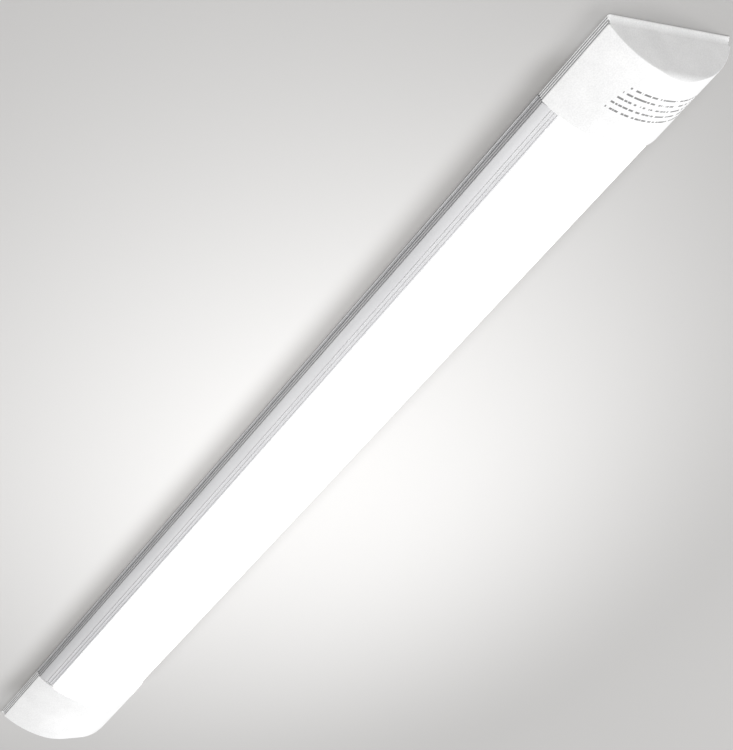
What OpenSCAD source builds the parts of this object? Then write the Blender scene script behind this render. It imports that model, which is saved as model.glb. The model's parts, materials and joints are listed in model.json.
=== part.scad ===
// LED strip batten: aluminium base, slide-in opal diffuser and two moulded end caps.
// Millimetres. Origin: middle of the mounting plane. +X along the batten, +Z towards the light side.

/* [Overall] */
// Length of the batten over both end caps
batten_l = 600; // [400:10:1200]
// Width across the feet of the aluminium base
batten_w = 75; // [70:1:90]
// Height from the mounting plane to the crown of the end caps
batten_h = 25; // [24:0.5:30]
// Length of each end cap along the batten
cap_l = 50; // [50:1:80]

/* [Aluminium base] */
// How far the foot stands out beyond the side lip
foot_step = 0.8; // [0.4:0.1:1.5]
// Thickness of the foot
foot_t = 0.9; // [0.6:0.1:1.4]
// Height of the upright side lip
lip_h = 4.5; // [4.3:0.1:6]
// Wall thickness of the lip and of the sloping shoulder
wall_t = 1.3; // [1:0.1:1.6]
// Sideways run of the sloping shoulder
shoulder_run = 6.9; // [6:0.1:8]
// Rise of the sloping shoulder
shoulder_rise = 6.7; // [6:0.1:7.5]
// Grooves along the side lip
groove_n = 3; // [1:1:3]
// Width of one groove
groove_w = 0.45; // [0.3:0.05:0.6]
// Depth of one groove
groove_d = 0.35; // [0.2:0.05:0.6]
// Radius of the fine beads along the shoulder
bead_r = 0.5; // [0.3:0.05:0.6]
// Underside of the floor that carries the light board
floor_z = 5.2; // [5:0.1:6]
// Thickness of that floor
floor_t = 1.2; // [1:0.1:1.6]
// How far the clip rails reach inwards from the lips
rail_w = 1.8; // [1.2:0.1:2.4]
// Underside of the clip rails
rail_z = 0.6; // [0.4:0.1:0.8]
// Thickness of the clip rails
rail_t = 1; // [0.8:0.1:1.2]
// Height of the rib that backs the diffuser leg
rib_h = 3.2; // [2:0.1:3.6]

/* [Diffuser] */
// How far the diffuser crown lies below the cap crown
diffuser_drop = 0.7; // [0.4:0.1:1.5]
// Wall thickness of the diffuser
diffuser_t = 1.3; // [1:0.1:1.8]
// How far the hooks under the shoulders reach outwards
hook_w = 1.3; // [0.8:0.1:1.6]
// Clearance round a sliding moulded edge
slide_gap = 0.2; // [0.1:0.05:0.3]

/* [End caps] */
// How far the sides of the cap stand back from the foot
cap_setback = 0.6; // [0.3:0.1:1.2]
// Wall thickness of the cap
cap_t = 2; // [1.6:0.1:2.4]
// Height of the upright strip round the cap
strip_h = 4; // [3.4:0.1:4.6]
// Height of the thin rim at the foot of the end face
rim_h = 0.9; // [0.6:0.1:1.4]
// How far the end panel stands back from the rim
panel_inset = 2.2; // [1.6:0.1:2.4]
// Inward lean of the end panel for each millimetre of height
panel_lean = 0.19; // [0:0.01:0.3]
// Radius between the end panel and the crown
crown_r = 4; // [2:0.5:6]
// Joint gap between the cap and the base or diffuser
joint_gap = 0.3; // [0.2:0.05:0.5]
// Length of the fixing tongue under the floor of the base
tongue_l = 14; // [12:1:20]
// Thickness of the fixing tongue
tongue_t = 2.4; // [2:0.1:2.6]
// Half width of the fixing tongue
tongue_hy = 30; // [24:1:31]
// Length of the spigot inside the diffuser
spigot_l = 6; // [4:1:10]
// Wall thickness of the spigot
spigot_t = 1.2; // [1:0.1:1.6]
// Height of the driver board posts
post_h = 2.5; // [2:0.1:3]
// Height of the pad under the terminal block
pad_h = 1.6; // [1.2:0.1:2]

/* [Light board] */
// Width of the light board
board_w = 40; // [30:1:42]
// Thickness of the light board
board_t = 1.2; // [1:0.1:1.6]
// Light sources in each row
led_n = 48; // [24:1:60]
// Distance of each row from the centre line
led_row_y = 9; // [5:0.5:14]
// Length of one light source
led_l = 2.8; // [2:0.1:3.5]
// Width of one light source
led_w = 3.5; // [2.5:0.1:5]
// Height of one light source
led_h = 0.7; // [0.5:0.1:1]
// Screws along the light board
board_screw_n = 5; // [3:2:7]

/* [Driver] */
// Length of the driver board along the batten
driver_l = 40; // [38:1:42]
// Width of the driver board
driver_w = 42; // [40:1:44]
// Thickness of the driver board
driver_t = 1.6; // [1.2:0.1:2]
// Diameter of the input capacitor
input_cap_d = 10; // [8:0.5:10.5]
// Length of the input capacitor
input_cap_l = 16; // [12:1:18]
// Diameter of the output capacitor
output_cap_d = 8; // [6.5:0.5:8]
// Length of the output capacitor
output_cap_l = 11.5; // [9:0.5:12]
// Height of the transformer
transformer_h = 12; // [10:0.5:13]

/* [Mains side] */
// Distance between terminal poles
pole_pitch = 9; // [8:0.5:10]
// Length of the terminal block along the batten
block_l = 18; // [17:0.5:20]
// Height of the terminal block
block_h = 13; // [11.5:0.5:14]
// Diameter of an insulated wire
wire_d = 2; // [1.6:0.1:2.2]
// Diameter of the cable hole in the grommet
cable_d = 7; // [6:0.5:8]

/* [Mounting clips] */
// Distance of each clip from the middle of the batten
clip_x = 150; // [110:5:150]
// Width of a clip along the batten
clip_l = 20; // [16:1:24]
// Sheet thickness of a clip
clip_t = 0.8; // [0.6:0.1:0.9]
// Diameter of the two screw holes in a clip
clip_hole_d = 4.5; // [4:0.1:5.5]
// Distance between the two screw holes
clip_hole_pitch = 30; // [20:1:40]
// Clearance between a clip and the rails
clip_gap = 0.3; // [0.3:0.05:0.5]

/* [Show] */
// Sub-part to draw

/* [Hidden] */
$fn = 64;
cut = 1;                                   // overshoot of a cutting shape
end_x = batten_l / 2;
joint_x = end_x - cap_l;                   // mouth face of a cap
base_end_x = joint_x - joint_gap;          // end of the base and of the diffuser
foot_hy = batten_w / 2;
lip_hy = foot_hy - foot_step;
lip_in_y = lip_hy - wall_t;
shoulder_hy = lip_hy - shoulder_run;
shoulder_z = lip_h + shoulder_rise;
shoulder_len = norm([shoulder_run, shoulder_rise]);
shoulder_drop = wall_t * shoulder_len / shoulder_run;   // wall measured straight down
floor_top = floor_z + floor_t;
floor_hy = lip_hy - 2.3;                   // floor edge, buried in the shoulder
leg_hy = shoulder_hy - slide_gap;          // outer face of the diffuser leg
leg_in_y = leg_hy - 1.2;
leg_z = floor_top + 0.4;
rib_out_y = leg_in_y - slide_gap;
rib_in_y = rib_out_y - 1.3;
hook_gap = slide_gap * 2;

// Arcs: radius from half width and rise, and height of the arc's centre.
function arc_r(half, rise) = (half * half + rise * rise) / (2 * rise);
function under_shoulder(y) =
    lip_h + (lip_hy - y) * shoulder_rise / shoulder_run - shoulder_drop;

diffuser_z = batten_h - diffuser_drop;
diffuser_r = arc_r(leg_hy, diffuser_z - shoulder_z);
diffuser_cz = diffuser_z - diffuser_r;
cap_hy = foot_hy - cap_setback;
cap_r = arc_r(cap_hy, batten_h - strip_h);
cap_cz = batten_h - cap_r;
spigot_r = diffuser_r - diffuser_t - joint_gap;
spigot_hy = rib_in_y - 2.5;
mouth_l = 3;                               // thickened band at the mouth of a cap
rim_edge = 0.3;                            // chamfer under the rim of the end face
band_step = 0.3;                           // how much deeper the band reaches than the spigot
wall_l = 2;                                // upright wall behind the base floor

screw_r = 1.5;                             // M3 shank
tap_r = 1.3;                               // self-tapped hole
head_r = 2.8;
head_h = 1.8;
cap_screw_x = joint_x - tongue_l / 2;
cap_screw_y = 14;
cap_screw_head_h = 1.5;

board_l = 2 * (joint_x - tongue_l);
board_top = floor_top + board_t;
led_pitch = (board_l - 20) / led_n;
board_screw_pitch = (board_l - 72) / (board_screw_n - 1);
board_screw_tip = floor_z - 0.9;

driver_x = joint_x + 23.5;
driver_z = cap_t + post_h;
driver_top = driver_z + driver_t;
post_dx = driver_l / 2 - 3;
post_dy = driver_w / 2 - 2.8;
post_r = 2.8;
small_screw_r = 1.15;
small_tap_r = 1;
small_head_r = 2;
small_head_h = 1.4;
conn_x = joint_x + 9;                      // both driver connectors
conn_y = 11.5;
conn_z = driver_top + 4;                   // wire height at the connectors
pin_dy = 2.2;                              // each pin from the middle of its connector

block_x = -joint_x - 17;
block_w = 2 * pole_pitch + 12;
block_z = cap_t + pad_h;
pole_z = block_z + 5;
pole_r = 2.6;
sleeve_r = 2.5;
sleeve_bore_r = 1.7;
clamp_dx = 4.5;
block_hole_y = pole_pitch / 2;

grommet_x = -joint_x - 36.5;
grommet_panel_z = 1.8;                     // recessed panel round the grommet
grommet_hole_r = 6;
grommet_flange_r = 7.6;
grommet_flange_t = 1.4;
grommet_pad_r = 10;

bend_over = 0.4;                           // of the radius, how far a run passes its bend
run_slim = 0.98;                           // every second run against the first
seam_turn = 7;                             // keeps the runs' seams apart
seam_step = 19;
wire_stagger = 5;
wire_z = floor_top + wire_d / 2 + 0.3;
live_y = board_w / 2 + 2.2;
neutral_y = live_y + wire_d + 0.5;
earth_x = -joint_x + tongue_l + 8;
earth_y = -board_w / 2 - 3.6;
earth_ring_r = 3.1;
earth_ring_t = 0.8;

clip_wing_z = rail_z + rail_t + clip_gap;
clip_wing_y = lip_in_y - 0.5;
clip_flat_y = 26;
clip_ramp = 3;

module along_x(x0, x1) {
    translate([x0, 0, 0])
        rotate([90, 0, 90])
            linear_extrude(x1 - x0)
                children();
}

module along_y(half) {
    translate([0, half, 0])
        rotate([90, 0, 0])
            linear_extrude(2 * half)
                children();
}

module both_sides() {
    children();
    mirror([1, 0])
        children();
}

// The right-hand half outline followed by its mirror image.
function mirrored(points) =
    concat(points, [for (i = [len(points) - 1 : -1 : 0]) [-points[i].x, points[i].y]]);
function flipped(points, s) = [for (p = points) [s * p.x, p.y]];

module slab(hy, z0, z1) {
    translate([-hy, z0])
        square([2 * hy, z1 - z0]);
}

module disc(z, r) {
    translate([0, z])
        circle(r, $fn = 256);
}

// A wire of straight runs through a list of points. Each run passes a little beyond its bend,
// and every second run is slightly thinner, so that the runs cut each other cleanly.
module wire_path(points, r = wire_d / 2) {
    last = len(points) - 2;
    for (i = [0 : last]) {
        step = points[i + 1] - points[i];
        dist = norm(step);
        before = i == 0 ? 0 : bend_over * r;
        after = i == last ? 0 : bend_over * r;
        translate(points[i])
            rotate([0, acos(step.z / dist), atan2(step.y, step.x)])
                rotate([0, 0, seam_turn + seam_step * i])
                    translate([0, 0, -before])
                        cylinder(
                            r = r * (i % 2 == 0 ? 1 : run_slim),
                            h = dist + before + after,
                            $fn = 24
                        );
    }
}

// Pan-head screw with a cross recess, head resting on z = 0, shank downwards.
module pan_screw(shank_r, shank_l, head_rad, head_ht) {
    slot = head_rad * 1.1;
    translate([0, 0, -shank_l])
        cylinder(r = shank_r, h = shank_l);
    difference() {
        cylinder(r = head_rad, h = head_ht);
        translate([-slot / 2, -0.3, head_ht * 0.4])
            cube([slot, 0.6, head_ht]);
        translate([-0.3, -slot / 2, head_ht * 0.4])
            cube([0.6, slot, head_ht]);
    }
}

// ---- aluminium base

module base_profile() {
    slab(floor_hy, floor_z, floor_top);
    both_sides() {
        difference() {
            union() {
                translate([foot_hy - foot_step - wall_t, 0])
                    square([wall_t + foot_step, foot_t]);
                polygon([
                    [lip_in_y, 0], [lip_hy, 0], [lip_hy, lip_h],
                    [shoulder_hy, shoulder_z], [shoulder_hy, under_shoulder(shoulder_hy)],
                    [lip_in_y, under_shoulder(lip_in_y)]
                ]);
                for (f = [0.55, 0.73, 0.89])
                    translate([lip_hy - f * shoulder_run, lip_h + f * shoulder_rise - 0.2])
                        circle(bead_r, $fn = 24);
            }
            for (i = [0 : groove_n - 1])
                translate([lip_hy - groove_d, foot_t + 0.6 + i * (lip_h - foot_t) / 3.6])
                    square([groove_d + cut, groove_w]);
        }
        translate([lip_in_y - rail_w, rail_z])
            square([rail_w + wall_t / 2, rail_t]);
        translate([rib_in_y, floor_z + floor_t / 2])
            square([rib_out_y - rib_in_y, floor_t / 2 + rib_h]);
    }
}

module base_extrusion() {
    color([0.76, 0.77, 0.78])
        difference() {
            along_x(-base_end_x, base_end_x)
                base_profile();
            for (s = [-1, 1], t = [-1, 1])
                translate([s * cap_screw_x, t * cap_screw_y, floor_z - cut])
                    cylinder(r = tap_r, h = floor_t + 2 * cut);
            for (i = [0 : board_screw_n - 1])
                translate([(i - (board_screw_n - 1) / 2) * board_screw_pitch, 0, floor_z - cut])
                    cylinder(r = tap_r, h = floor_t + 2 * cut);
            translate([earth_x, earth_y, floor_z - cut])
                cylinder(r = tap_r, h = floor_t + 2 * cut);
        }
}

// ---- diffuser

module diffuser() {
    color([0.97, 0.98, 1.0, 0.85])
        along_x(-base_end_x, base_end_x) {
            difference() {
                intersection() {
                    disc(diffuser_cz, diffuser_r);
                    slab(leg_hy, leg_z, batten_h);
                }
                intersection() {
                    disc(diffuser_cz, diffuser_r - diffuser_t);
                    slab(leg_in_y, leg_z - cut, batten_h);
                }
            }
            for (s = [-1, 1])
                polygon(flipped([
                    [leg_hy - 0.4, leg_z], [leg_hy + hook_w, leg_z],
                    [leg_hy + hook_w, under_shoulder(leg_hy + hook_w) - hook_gap],
                    [leg_hy - 0.4, under_shoulder(leg_hy - 0.4) - hook_gap]
                ], s));
        }
}

// ---- end caps, drawn at the +X end

function panel_x(z, inset) = end_x - inset - panel_lean * (z - strip_h);

module cap_profile() {
    intersection() {
        disc(cap_cz, cap_r);
        slab(cap_hy, strip_h - 0.5, batten_h);
    }
    difference() {
        slab(cap_hy, 0, strip_h);
        both_sides()
            for (i = [0 : groove_n - 1])
                translate([cap_hy - groove_d, foot_t + i * (strip_h - foot_t) / 3.2])
                    square([groove_d + cut, groove_w]);
    }
}

module cap_side_profile() {
    lean_k = norm([1, panel_lean]);
    cz = batten_h - crown_r;
    cx = panel_x(cz, panel_inset) - crown_r * lean_k;
    // a hollow curve runs from the rim up to the panel
    rise = strip_h - rim_h;
    cove_r = (panel_inset * panel_inset + rise * rise) / (2 * panel_inset);
    difference() {
        polygon([
            [joint_x, 0], [end_x - rim_edge, 0], [end_x, rim_edge], [end_x, strip_h],
            [panel_x(strip_h, panel_inset), strip_h],
            [panel_x(batten_h, panel_inset), batten_h], [joint_x, batten_h]
        ]);
        translate([end_x - panel_inset + cove_r, strip_h])
            circle(cove_r, $fn = 96);
        difference() {
            polygon([
                [cx, batten_h + cut], [end_x, batten_h + cut], [end_x, cz],
                [cx + crown_r / lean_k, cz + crown_r * panel_lean / lean_k], [cx, cz]
            ]);
            translate([cx, cz])
                circle(crown_r, $fn = 96);
        }
    }
}

module cap_cavity() {
    back = cap_t + panel_inset;
    intersection() {
        along_x(joint_x - cut, end_x)
            intersection() {
                disc(cap_cz, cap_r - cap_t);
                slab(cap_hy - cap_t, 0, batten_h);
            }
        along_y(batten_w)
            polygon([
                [joint_x - cut, floor_z], [joint_x + wall_l, floor_z],
                [joint_x + wall_l, cap_t], [panel_x(cap_t, back + 0.3), cap_t],
                [panel_x(batten_h, back), batten_h], [joint_x - cut, batten_h]
            ]);
    }
}

module cap_shell() {
    difference() {
        intersection() {
            along_x(joint_x, end_x)
                cap_profile();
            along_y(batten_w)
                cap_side_profile();
        }
        cap_cavity();
    }
    // band that carries the spigot inside the diffuser
    along_x(joint_x, joint_x + mouth_l)
        intersection() {
            difference() {
                disc(cap_cz, cap_r - cap_t / 2);
                disc(diffuser_cz, spigot_r - spigot_t - band_step);
            }
            slab(spigot_hy + band_step, shoulder_z, batten_h);
        }
    along_x(joint_x - spigot_l, joint_x + mouth_l / 2)
        intersection() {
            difference() {
                disc(diffuser_cz, spigot_r);
                disc(diffuser_cz, spigot_r - spigot_t);
            }
            slab(spigot_hy, shoulder_z, batten_h);
        }
    // fixing tongue under the floor of the base
    difference() {
        translate([joint_x - tongue_l, -tongue_hy, floor_z - tongue_t])
            cube([tongue_l + wall_l / 2, 2 * tongue_hy, tongue_t]);
        for (t = [-1, 1])
            translate([cap_screw_x, t * cap_screw_y, floor_z - tongue_t]) {
                translate([0, 0, -cut])
                    cylinder(r = screw_r + 0.1, h = tongue_t + 2 * cut);
                translate([0, 0, -0.01])
                    cylinder(r1 = head_r + 0.1, r2 = screw_r + 0.1, h = cap_screw_head_h);
            }
    }
}

module post_places() {
    for (s = [-1, 1], t = [-1, 1])
        translate([driver_x + s * post_dx, t * post_dy, 0])
            children();
}

module end_cap_driver() {
    color([0.93, 0.93, 0.92])
        difference() {
            union() {
                cap_shell();
                post_places()
                    translate([0, 0, cap_t / 2])
                        cylinder(r = post_r, h = driver_z - cap_t / 2);
            }
            post_places()
                translate([0, 0, cap_t / 2])
                    cylinder(r = small_tap_r, h = driver_z);
        }
}

module end_cap_mains() {
    color([0.93, 0.93, 0.92])
        difference() {
            union() {
                mirror([1, 0, 0])
                    cap_shell();
                translate([block_x - block_l / 2, -block_w / 2, cap_t / 2])
                    cube([block_l, block_w, block_z - cap_t / 2]);
                translate([grommet_x, 0, 0.5])
                    cylinder(r = grommet_pad_r, h = grommet_panel_z + cap_t - 0.5);
            }
            translate([block_x, block_hole_y, 1])
                cylinder(r = tap_r, h = block_z);
            translate([grommet_x, 0, -cut])
                cylinder(r = grommet_hole_r, h = grommet_panel_z + cap_t + 2 * cut);
            translate([grommet_x, 0, -cut])
                cylinder(r = grommet_flange_r + 0.4, h = grommet_panel_z + cut);
        }
}

module cap_screws() {
    color([0.7, 0.71, 0.73])
        for (s = [-1, 1], t = [-1, 1])
            translate([s * cap_screw_x, t * cap_screw_y, floor_z - tongue_t]) {
                difference() {
                    cylinder(r1 = head_r, r2 = tap_r, h = cap_screw_head_h);
                    translate([-1.4, -0.3, -cut])
                        cube([2.8, 0.6, cut + 0.7]);
                    translate([-0.3, -1.4, -cut])
                        cube([0.6, 2.8, cut + 0.7]);
                }
                translate([0, 0, 1])
                    cylinder(r = tap_r, h = tongue_t + floor_t - 0.2);
            }
}

// ---- light board

module board_screw_places() {
    for (i = [0 : board_screw_n - 1])
        translate([(i - (board_screw_n - 1) / 2) * board_screw_pitch, 0, 0])
            children();
}

module led_board() {
    color([0.94, 0.95, 0.94])
        difference() {
            translate([-board_l / 2, -board_w / 2, floor_top])
                cube([board_l, board_w, board_t]);
            board_screw_places()
                translate([0, 0, floor_top - cut])
                    cylinder(r = screw_r + 0.2, h = board_t + 2 * cut);
        }
}

module led_row(y) {
    color([0.98, 0.85, 0.35])
        for (i = [0 : led_n - 1])
            translate([(i - (led_n - 1) / 2) * led_pitch - led_l / 2, y - led_w / 2, board_top])
                cube([led_l, led_w, led_h]);
}

module led_row_left() {
    led_row(led_row_y);
}

module led_row_right() {
    led_row(-led_row_y);
}

module led_connector() {
    color([0.95, 0.93, 0.86])
        difference() {
            translate([board_l / 2 - 8, -4, board_top])
                cube([6, 8, 3.4]);
            for (t = [-1, 1])
                translate([board_l / 2 - 6, t * 2, board_top + 1.7])
                    rotate([0, 90, 0])
                        cylinder(r = wire_d / 2 + 0.1, h = 6, $fn = 24);
        }
}

module board_screws() {
    color([0.7, 0.71, 0.73])
        board_screw_places()
            translate([0, 0, board_top])
                pan_screw(tap_r, board_top - board_screw_tip, head_r, head_h);
}

// ---- driver

module driver_board() {
    color([0.12, 0.42, 0.24])
        difference() {
            translate([driver_x - driver_l / 2, -driver_w / 2, driver_z])
                cube([driver_l, driver_w, driver_t]);
            post_places()
                translate([0, 0, driver_z - cut])
                    cylinder(r = small_screw_r + 0.15, h = driver_t + 2 * cut);
        }
}

module driver_screws() {
    color([0.7, 0.71, 0.73])
        post_places()
            translate([0, 0, driver_top])
                pan_screw(small_tap_r, driver_t + post_h - 0.3, small_head_r, small_head_h);
}

transformer_x = joint_x + 27;
transformer_y = -6.5;
transformer_l = 13;
transformer_w = 15;

module transformer_core() {
    leg = 3;
    color([0.2, 0.2, 0.21])
        difference() {
            translate([transformer_x - transformer_l / 2, transformer_y - transformer_w / 2,
                       driver_top + 1])
                cube([transformer_l, transformer_w, transformer_h - 1]);
            translate([transformer_x - transformer_l, transformer_y - transformer_w / 2 + leg,
                       driver_top + 1 + leg])
                cube([2 * transformer_l, transformer_w - 2 * leg, transformer_h - 1 - 2 * leg]);
        }
}

module transformer_winding() {
    color([0.93, 0.76, 0.2]) {
        translate([transformer_x - transformer_l / 2 - 1, transformer_y - transformer_w / 2 + 3.1,
                   driver_top + 4.1])
            cube([transformer_l + 2, transformer_w - 6.2, transformer_h - 7.2]);
    }
}

module input_capacitor() {
    r = input_cap_d / 2;
    x = joint_x + 21.5;
    color([0.13, 0.14, 0.2])
        translate([x, conn_y, driver_top + r])
            rotate([0, 90, 0]) {
                cylinder(r = r, h = input_cap_l - 0.8);
                cylinder(r = r - 0.6, h = input_cap_l);
            }
}

module output_capacitor() {
    r = output_cap_d / 2;
    color([0.15, 0.16, 0.2])
        translate([joint_x + 38.5, -11, driver_top]) {
            cylinder(r = r, h = output_cap_l - 0.6);
            cylinder(r = r - 0.5, h = output_cap_l);
        }
}

module film_capacitor() {
    color([0.9, 0.72, 0.2])
        translate([joint_x + 15, conn_y - 6, driver_top])
            cube([5, 12, 9]);
}

module filter_choke() {
    color([0.15, 0.15, 0.15])
        translate([conn_x, 0, driver_top]) {
            cylinder(r = 4, h = 1.2);
            cylinder(r = 3.2, h = 8);
            translate([0, 0, 7])
                cylinder(r = 4, h = 1.2);
        }
}

module fuse() {
    color([0.6, 0.45, 0.3])
        translate([joint_x + 14, -driver_w / 2 + 3.4, driver_top + 1.8])
            rotate([0, 90, 0])
                cylinder(r = 1.8, h = 10);
}

module varistor() {
    color([0.1, 0.3, 0.7])
        translate([joint_x + 38.3, 10.5, driver_top + 3.6])
            rotate([0, 90, 0])
                cylinder(r = 3.6, h = 3.4);
}

module rectifier() {
    color([0.1, 0.1, 0.1])
        translate([joint_x + 35.5, 0.5, driver_top])
            cube([4, 4.8, 2.4]);
}

module control_chip() {
    color([0.08, 0.08, 0.08])
        translate([joint_x + 36.5, -6, driver_top])
            cube([4, 5, 1.6]);
}

// Two-pole connector on the driver board with its wire holes facing the mouth of the cap.
module driver_connector(y) {
    difference() {
        translate([conn_x - 4, y - 4.5, driver_top])
            cube([8, 9, 8]);
        for (t = [-1, 1]) {
            translate([conn_x - 4 - cut, y + t * pin_dy, conn_z])
                rotate([0, 90, 0])
                    cylinder(r = wire_d / 2 + 0.2, h = 6 + cut, $fn = 24);
            translate([conn_x + 0.5, y + t * pin_dy, conn_z])
                cylinder(r = 1.4, h = 8);
        }
    }
}

module input_connector() {
    color([0.9, 0.91, 0.88])
        driver_connector(conn_y);
}

module output_connector() {
    color([0.9, 0.91, 0.88])
        driver_connector(-conn_y);
}

// ---- mains side

module pole_places() {
    for (i = [-1 : 1])
        translate([block_x, i * pole_pitch, pole_z])
            children();
}

module terminal_block() {
    color([0.92, 0.92, 0.88])
        difference() {
            translate([block_x - block_l / 2, -block_w / 2, block_z])
                cube([block_l, block_w, block_h]);
            pole_places() {
                translate([-block_l, 0, 0])
                    rotate([0, 90, 0])
                        cylinder(r = pole_r, h = 2 * block_l);
                for (s = [-1, 1])
                    translate([s * clamp_dx, 0, 0])
                        cylinder(r = 2.1, h = block_h);
            }
            translate([block_x, block_hole_y, block_z - cut])
                cylinder(r = screw_r + 0.1, h = block_h + 2 * cut);
        }
}

module terminal_sleeves() {
    color([0.8, 0.66, 0.3])
        pole_places()
            difference() {
                translate([1 - block_l / 2, 0, 0])
                    rotate([0, 90, 0])
                        cylinder(r = sleeve_r, h = block_l - 2);
                translate([-block_l / 2, 0, 0])
                    rotate([0, 90, 0])
                        cylinder(r = sleeve_bore_r, h = block_l);
                for (s = [-1, 1])
                    translate([s * clamp_dx, 0, 0])
                        cylinder(r = 1.35, h = 2 * sleeve_r);
            }
}

module terminal_screws() {
    color([0.72, 0.73, 0.74])
        pole_places()
            for (s = [-1, 1])
                translate([s * clamp_dx, 0, wire_d / 2])
                    difference() {
                        union() {
                            cylinder(r = 1.3, h = 4);
                            translate([0, 0, 3])
                                cylinder(r = 1.9, h = 2);
                        }
                        translate([-2.5, -0.3, 4.2])
                            cube([5, 0.6, 2]);
                    }
}

module block_screw() {
    color([0.7, 0.71, 0.73])
        translate([block_x, block_hole_y, block_z + block_h])
            pan_screw(tap_r, block_h + pad_h + 0.4, 2, 1.5);
}

module cable_grommet() {
    lo = grommet_panel_z - grommet_flange_t;
    hi = grommet_panel_z + cap_t + grommet_flange_t;
    color([0.12, 0.12, 0.12])
        translate([grommet_x, 0, 0])
            rotate_extrude($fn = 96)
                difference() {
                    translate([cable_d / 2, lo])
                        square([grommet_flange_r - cable_d / 2, hi - lo]);
                    translate([grommet_hole_r, grommet_panel_z])
                        square([grommet_flange_r, cap_t]);
                }
}

// ---- wiring

// A mains wire beside the light board. Spread moves its bends, so that the two stay apart.
module mains_wire(y, pole, dy, spread) {
    x1 = block_x + block_l / 2 + 2.5;
    wire_path([
        [block_x + 2, pole * pole_pitch, pole_z],
        [x1, pole * pole_pitch, pole_z],
        [-joint_x + 2 + spread, y, wire_z],
        [joint_x - 3 - spread, y, wire_z],
        [joint_x + 2, conn_y + dy, conn_z],
        [conn_x + 1, conn_y + dy, conn_z]
    ]);
}

module live_wire() {
    color([0.45, 0.25, 0.12])
        mains_wire(live_y, 0, -pin_dy, wire_stagger);
}

module neutral_wire() {
    color([0.12, 0.3, 0.75])
        mains_wire(neutral_y, 1, pin_dy, 0);
}

module output_wire(t) {
    x0 = board_l / 2 - 5;
    z0 = board_top + 1.7;
    wire_path([
        [x0, t * 2, z0],
        [joint_x - 6, t * 2, z0],
        [joint_x + 1, -conn_y + t * pin_dy, conn_z],
        [conn_x + 1, -conn_y + t * pin_dy, conn_z]
    ]);
}

module positive_wire() {
    color([0.8, 0.1, 0.1])
        output_wire(1);
}

module negative_wire() {
    color([0.1, 0.1, 0.1])
        output_wire(-1);
}

module earth_wire() {
    barrel_z = floor_top + 1.6;
    color([0.45, 0.7, 0.2])
        wire_path([
            [earth_x - 7, earth_y, barrel_z],
            [-joint_x + 2, earth_y, barrel_z],
            [block_x + block_l / 2 + 2.5, -pole_pitch, pole_z],
            [block_x + 2, -pole_pitch, pole_z]
        ]);
}

module earth_ring() {
    color([0.8, 0.8, 0.78])
        difference() {
            union() {
                translate([earth_x, earth_y, floor_top])
                    cylinder(r = earth_ring_r, h = earth_ring_t);
                translate([earth_x - 6, earth_y - 1.4, floor_top])
                    cube([6, 2.8, earth_ring_t]);
                translate([earth_x - 9, earth_y, floor_top + 1.6])
                    rotate([0, 90, 0])
                        cylinder(r = 1.6, h = 4);
            }
            translate([earth_x, earth_y, floor_top - cut])
                cylinder(r = screw_r + 0.1, h = 4);
            translate([earth_x - 10, earth_y, floor_top + 1.6])
                rotate([0, 90, 0])
                    cylinder(r = wire_d / 2 + 0.02, h = 6);
        }
}

module earth_screw() {
    color([0.75, 0.72, 0.5])
        translate([earth_x, earth_y, floor_top + earth_ring_t])
            pan_screw(tap_r, earth_ring_t + floor_t + 1.1, 2.6, head_h);
}

// ---- mounting clips, which slide along the rails

module clip_profile() {
    polygon(mirrored([
        [clip_flat_y, 0], [clip_flat_y + clip_ramp, clip_wing_z], [clip_wing_y, clip_wing_z],
        [clip_wing_y, clip_wing_z + clip_t],
        [clip_flat_y + clip_ramp - 0.5, clip_wing_z + clip_t], [clip_flat_y - 0.5, clip_t]
    ]));
}

module clip_at(x) {
    color([0.78, 0.79, 0.8])
        difference() {
            along_x(x - clip_l / 2, x + clip_l / 2)
                clip_profile();
            for (t = [-1, 1])
                translate([x, t * clip_hole_pitch / 2, -cut])
                    cylinder(r = clip_hole_d / 2, h = clip_t + 2 * cut);
        }
}

module mounting_clip_a() {
    clip_at(clip_x);
}

module mounting_clip_b() {
    clip_at(-clip_x);
}

base_extrusion();
diffuser();
end_cap_driver();
end_cap_mains();
cap_screws();
led_board();
led_row_left();
led_row_right();
led_connector();
board_screws();
driver_board();
driver_screws();
transformer_core();
transformer_winding();
input_capacitor();
output_capacitor();
film_capacitor();
filter_choke();
fuse();
varistor();
rectifier();
control_chip();
input_connector();
output_connector();
terminal_block();
terminal_sleeves();
terminal_screws();
block_screw();
cable_grommet();
live_wire();
neutral_wire();
positive_wire();
negative_wire();
earth_wire();
earth_ring();
earth_screw();
mounting_clip_a();
mounting_clip_b();
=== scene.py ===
import json
import math
import bmesh
import bpy
import numpy as np
from mathutils import Matrix, Vector


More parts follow.
